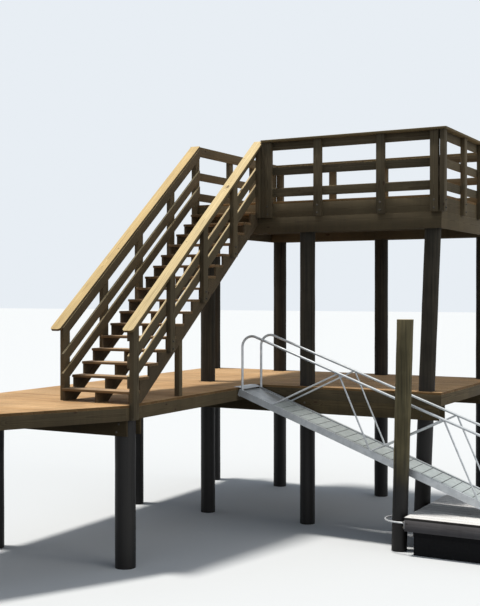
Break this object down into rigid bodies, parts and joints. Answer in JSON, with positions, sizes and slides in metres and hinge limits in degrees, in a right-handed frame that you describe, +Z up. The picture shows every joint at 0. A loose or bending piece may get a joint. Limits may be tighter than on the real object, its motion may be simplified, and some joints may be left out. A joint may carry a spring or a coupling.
{
  "type": "timber jetty",
  "caption": "Timber jetty on round piles with a low deck, a stair to a high lookout deck and a hinged gangway to a landing float.",
  "frame": {"origin": "centre of the foot of the tall pile at the front left of the lookout", "axes": "+X along the lookout's front edge towards the float, +Y the way the stair climbs, +Z up"},
  "size_m": [13.6271, 14.109, 6.66],
  "materials": {
    "piles": "weathered round timber",
    "deck_boards": "weathered planks",
    "framing": "rough sawn",
    "rails": "weathered planed",
    "gangway_metal": "mill",
    "rollers": "matte",
    "float_deck": "bleached boards",
    "float_skirt": "grey weathered",
    "drums": "moulded",
    "hoops": "galvanised"
  },
  "bodies": {
    "jetty": {"front_tall_piles": "piles", "back_tall_piles": "piles", "short_piles": "piles", "walkway_piles": "piles", "guide_piles": "piles", "low_bearers": "framing", "low_joists": "framing", "low_rim": "rails", "low_deck": "deck_boards", "walkway_bearers": "framing", "walkway_joists": "framing", "walkway_rim": "rails", "walkway_deck": "deck_boards", "high_band": "framing", "high_joists": "framing", "high_rim": "rails", "high_deck": "deck_boards", "front_guard": "rails", "right_guard": "rails", "back_guard": "rails", "left_guard": "rails", "left_stringer": "rails", "middle_stringer": "rails", "right_stringer": "rails", "treads": "deck_boards", "left_stair_rail": "rails", "right_stair_rail": "rails", "stair_prop": "rails", "hinge_bracket": "gangway_metal", "threshold_plate": "gangway_metal"},
    "float": {"float_deck": "float_deck", "float_skirt": "float_skirt", "float_drums": "drums", "float_hoops": "hoops"},
    "gangway": {"gangway_hinge": "gangway_metal", "gangway_channels": "gangway_metal", "gangway_plate": "gangway_metal", "gangway_deck": "gangway_metal", "near_handrail": "gangway_metal", "far_handrail": "gangway_metal", "gangway_feet": "rollers"}
  },
  "joints": [
    {"name": "float_rise", "type": "slide", "parent": "jetty", "child": "float", "axis": [0, 0, 1], "range_m": [0, 1.2]},
    {"name": "gangway_swing", "type": "hinge", "parent": "jetty", "child": "gangway", "pos_m": [1.1647, -0.5533, 2.313], "axis": [0, -1, 0], "range_deg": [0, 15.51]}
  ],
  "couplings": [
    {"joint": "gangway_swing", "follows": "float_rise", "rad_per_m": 0.2255}
  ]
}
